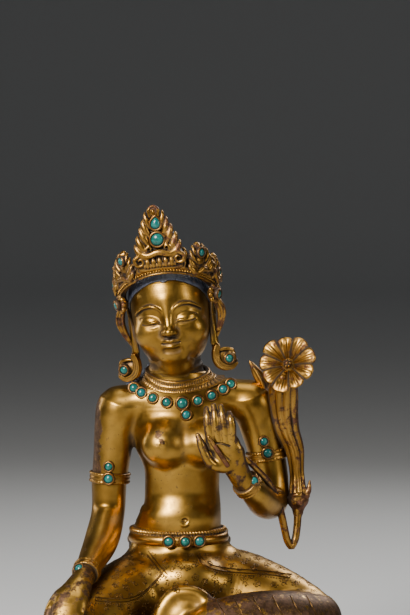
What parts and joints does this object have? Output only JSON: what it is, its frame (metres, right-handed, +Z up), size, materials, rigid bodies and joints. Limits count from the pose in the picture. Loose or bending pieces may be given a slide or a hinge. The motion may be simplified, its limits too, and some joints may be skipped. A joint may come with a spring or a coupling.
{
  "type": "seated deity figure",
  "caption": "Gilt cast seated goddess on an oval double-lotus base, one leg hanging, holding a lotus stem, with turquoise cabochons set in crown, necklace, belt and arms.",
  "frame": {"origin": "middle of the base's flat underside", "axes": "+Z up through the figure, -Y the way it faces, +X to the figure's own left"},
  "size_m": [0.18, 0.161, 0.3],
  "materials": {
    "gilt_metal": "fire-gilt cast copper alloy, worn to dark copper on edges",
    "gilt_base": "fire-gilt cast copper alloy, worn",
    "turquoise": "polished turquoise cabochon"
  },
  "bodies": {
    "root": {"figure": "gilt_metal", "lotus_base": "gilt_base", "turquoise_necklace_1": "turquoise", "turquoise_necklace_2": "turquoise", "turquoise_necklace_3": "turquoise", "turquoise_necklace_4": "turquoise", "turquoise_necklace_5": "turquoise", "turquoise_necklace_6": "turquoise", "turquoise_necklace_7": "turquoise", "turquoise_necklace_8": "turquoise", "turquoise_necklace_9": "turquoise", "turquoise_pendant": "turquoise", "turquoise_belt_1": "turquoise", "turquoise_belt_2": "turquoise", "turquoise_belt_3": "turquoise", "turquoise_right_armlet_lower": "turquoise", "turquoise_right_armlet_upper": "turquoise", "turquoise_left_armlet_lower": "turquoise", "turquoise_left_armlet_upper": "turquoise", "turquoise_right_bracelet": "turquoise", "turquoise_left_bracelet": "turquoise", "turquoise_crown_centre": "turquoise", "turquoise_crown_drop": "turquoise", "turquoise_crown_right_front": "turquoise", "turquoise_crown_right_side": "turquoise", "turquoise_crown_right_rosette": "turquoise", "turquoise_right_earring": "turquoise", "turquoise_crown_left_front": "turquoise", "turquoise_crown_left_side": "turquoise", "turquoise_crown_left_rosette": "turquoise", "turquoise_left_earring": "turquoise"}
  },
  "joints": []
}
